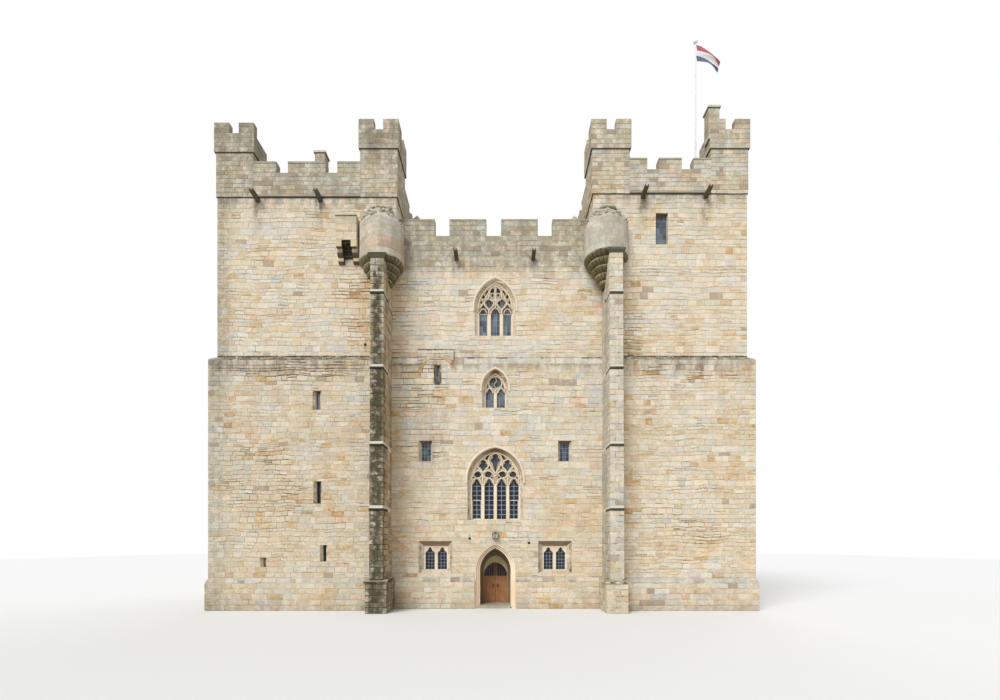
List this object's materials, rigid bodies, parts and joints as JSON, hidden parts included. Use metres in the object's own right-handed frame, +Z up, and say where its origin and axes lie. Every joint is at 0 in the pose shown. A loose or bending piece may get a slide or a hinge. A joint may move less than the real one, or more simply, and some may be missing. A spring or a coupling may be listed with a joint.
{
  "type": "castle keep",
  "caption": "Stone tower keep with two square wings, turrets, battlements, traceried windows and a double door that opens inwards.",
  "frame": {"origin": "on the level ground under the middle of the plan, on the underside of the ground floor", "axes": "+X to the right seen from the door front, +Y from the front to the back, +Z up"},
  "size_m": [29.05, 16.04, 33.22],
  "materials": {
    "ashlar": "weathered dressed blocks in lime mortar",
    "lichened_stone": "weathered blocks with grey green lichen",
    "dressed_stone": "smooth cut freestone",
    "flagstone": "worn slabs",
    "door_wood": "varnished planks",
    "window_glass": "small leaded panes",
    "iron": "black painted",
    "white_paint": "satin",
    "flag_cloth": "woven bunting"
  },
  "bodies": {
    "keep": {"left_wing_front": "ashlar", "left_wing_side": "ashlar", "left_wing_inner": "ashlar", "left_wing_back": "ashlar", "right_wing_front": "ashlar", "right_wing_side": "ashlar", "right_wing_inner": "ashlar", "right_wing_back": "ashlar", "left_pier_wall": "ashlar", "right_pier_wall": "ashlar", "over_door_wall": "ashlar", "hall_wall": "ashlar", "second_storey_wall": "ashlar", "third_storey_wall": "ashlar", "back_ground_wall": "ashlar", "back_hall_wall": "ashlar", "back_upper_wall": "ashlar", "ground_floor": "flagstone", "first_floor": "flagstone", "second_floor": "flagstone", "third_floor": "flagstone", "fourth_floor": "flagstone", "roofs": "flagstone", "left_wing_parapet": "lichened_stone", "right_wing_parapet": "lichened_stone", "block_parapet": "lichened_stone", "left_wing_turrets": "lichened_stone", "right_wing_turrets": "lichened_stone", "corner_turrets": "ashlar", "buttresses": "ashlar", "corbelled_box": "dressed_stone", "water_spouts": "lichened_stone", "chimneys": "ashlar", "flagpole": "white_paint", "flag": "flag_cloth", "door_jambs": "dressed_stone", "door_arch": "dressed_stone", "inner_door_arch": "dressed_stone", "threshold": "flagstone", "door_pins": "iron", "lantern": "iron", "hall_tracery": "dressed_stone", "second_tracery": "dressed_stone", "third_tracery": "dressed_stone", "ground_tracery": "dressed_stone", "hood_moulds": "dressed_stone", "block_glass": "window_glass", "wing_glass": "window_glass"},
    "left_leaf": {"left_door": "door_wood", "left_door_glass": "window_glass"},
    "right_leaf": {"right_door": "door_wood", "right_door_glass": "window_glass"}
  },
  "joints": [
    {"name": "left_leaf_hinge", "type": "hinge", "parent": "keep", "child": "left_leaf", "pos_m": [-0.045, -4.362, 0.52], "axis": [0, 0, 1], "range_deg": [0, 90]},
    {"name": "right_leaf_hinge", "type": "hinge", "parent": "keep", "child": "right_leaf", "pos_m": [1.425, -4.362, 0.52], "axis": [0, 0, -1], "range_deg": [0, 90]}
  ]
}
